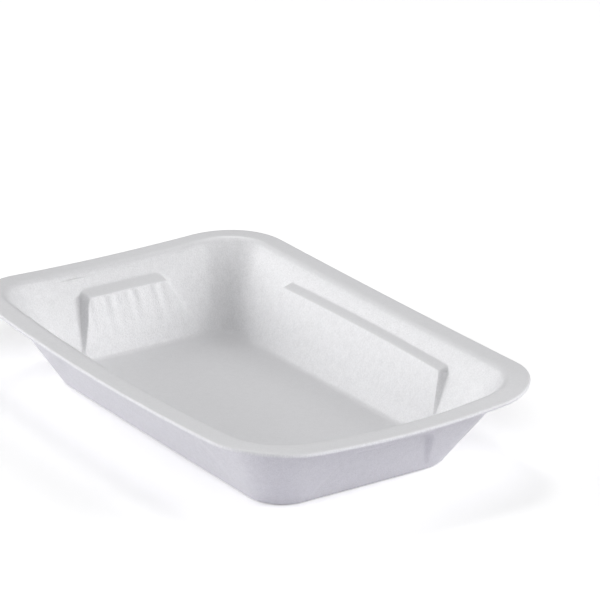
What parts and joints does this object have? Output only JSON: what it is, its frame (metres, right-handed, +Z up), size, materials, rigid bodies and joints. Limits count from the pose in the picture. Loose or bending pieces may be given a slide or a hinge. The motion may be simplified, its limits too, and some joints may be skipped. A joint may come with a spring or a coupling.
{
  "type": "foam food tray",
  "caption": "Shallow rectangular foam tray with sloping walls, rounded corners, stacking panels with ledges in the walls and a flat flange round the rim.",
  "frame": {"origin": "middle of the base's underside, on the surface that the tray stands on", "axes": "+X along the long side, +Y along the short side, +Z up, out of the tray's mouth"},
  "size_m": [0.22, 0.1414, 0.0355],
  "materials": {
    "foam": "matte white polystyrene foam with a faint satin skin"
  },
  "bodies": {
    "root": {"foam_tray": "foam"}
  },
  "joints": []
}
